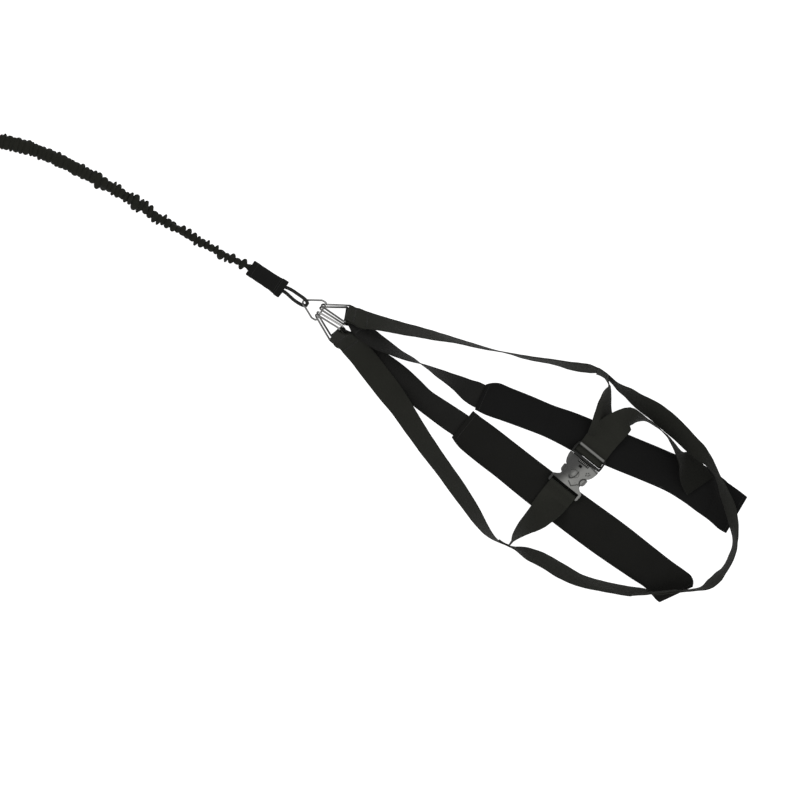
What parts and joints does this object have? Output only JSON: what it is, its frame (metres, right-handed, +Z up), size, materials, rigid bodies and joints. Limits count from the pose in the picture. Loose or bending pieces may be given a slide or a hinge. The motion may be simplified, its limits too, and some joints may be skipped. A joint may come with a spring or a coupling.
{
  "type": "resistance band harness",
  "caption": "Padded shoulder harness of flat webbing with side-release chest buckle, wire rings on a link and a long elastic band in a gathered sleeve",
  "frame": {"origin": "middle of the harness's footprint, on the floor it lies on", "axes": "X along the harness from the band towards the far end of the straps, Y across, Z up from the floor"},
  "size_m": [1.5069, 0.7614, 0.0599],
  "materials": {
    "webbing": "black polypropylene webbing, matte",
    "pad_cover": "black brushed fabric, matte",
    "foam": "closed-cell foam",
    "steel": "zinc-plated steel wire, bright",
    "ferrule": "crimped aluminium",
    "buckle": "black moulded acetal, satin",
    "boot": "black synthetic leather",
    "cord": "black braided cord",
    "band_sleeve": "gathered black nylon sleeve"
  },
  "bodies": {
    "harness": {"side_strap_upper": "webbing", "side_strap_lower": "webbing", "shoulder_strap_upper": "webbing", "shoulder_strap_lower": "webbing", "pad_cover_upper": "pad_cover", "pad_foam_upper": "foam", "pad_cover_lower": "pad_cover", "pad_foam_lower": "foam", "chest_strap_fixed": "webbing", "chest_strap_adjust": "webbing", "buckle_socket": "buckle"},
    "ring_1": {"ring_1": "steel"},
    "ring_2": {"ring_2": "steel"},
    "ring_3": {"ring_3": "steel"},
    "ring_4": {"ring_4": "steel"},
    "link": {"ring_link": "steel"},
    "elastic": {"cord_loop": "cord", "band_boot": "boot", "band_ferrule": "ferrule", "band": "band_sleeve", "band_coil": "band_sleeve", "far_boot": "boot", "far_cord_loop": "cord", "far_ferrule": "ferrule"},
    "plug": {"buckle_plug": "buckle"},
    "latch_left": {"buckle_latch_left": "buckle"},
    "latch_right": {"buckle_latch_right": "buckle"}
  },
  "joints": [
    {"name": "ring_1_turn", "type": "hinge", "parent": "harness", "child": "ring_1", "pos_m": [-0.23681, 0.19136, 0.0262], "axis": [0.2227, 0.5679, -0.7924], "range_deg": [-0.4, 0.4]},
    {"name": "ring_2_turn", "type": "hinge", "parent": "harness", "child": "ring_2", "pos_m": [-0.23948, 0.1876, 0.0198], "axis": [0.0944, 0.6112, -0.7858], "range_deg": [-0.4, 0.4]},
    {"name": "ring_3_turn", "type": "hinge", "parent": "harness", "child": "ring_3", "pos_m": [-0.25412, 0.1628, 0.0215], "axis": [0.4064, 0.3245, 0.8541], "range_deg": [-0.4, 0.4]},
    {"name": "ring_4_turn", "type": "hinge", "parent": "harness", "child": "ring_4", "pos_m": [-0.25771, 0.15749, 0.0278], "axis": [0.324, 0.4082, 0.8535], "range_deg": [-0.4, 0.4]},
    {"name": "link_turn", "type": "hinge", "parent": "harness", "child": "link", "pos_m": [-0.28, 0.19512, 0.0245], "axis": [-0.5132, -0.8583, 0], "range_deg": [-40, 1]},
    {"name": "band_swing", "type": "hinge", "parent": "link", "child": "elastic", "pos_m": [-0.30032, 0.2072, 0.0168], "axis": [0, 0, 1], "range_deg": [-8, 8]},
    {"name": "buckle_release", "type": "slide", "parent": "harness", "child": "plug", "axis": [0.6275, 0.7786, 0], "range_m": [0, 0.036], "deforming": ["chest_strap_adjust", "buckle_latch_left", "buckle_latch_right"]},
    {"name": "latch_left_press", "type": "hinge", "parent": "plug", "child": "latch_left", "pos_m": [0.12374, -0.03921, 0.0181], "axis": [0, 0, 1], "range_deg": [0, 15], "stiffness_Nm_per_rad": 0.4},
    {"name": "latch_right_press", "type": "hinge", "parent": "plug", "child": "latch_right", "pos_m": [0.14943, -0.05991, 0.0181], "axis": [0, 0, 1], "range_deg": [-15, 0], "stiffness_Nm_per_rad": 0.4}
  ],
  "couplings": [
    {"joint": "latch_right_press", "follows": "latch_left_press", "ratio": -1}
  ]
}
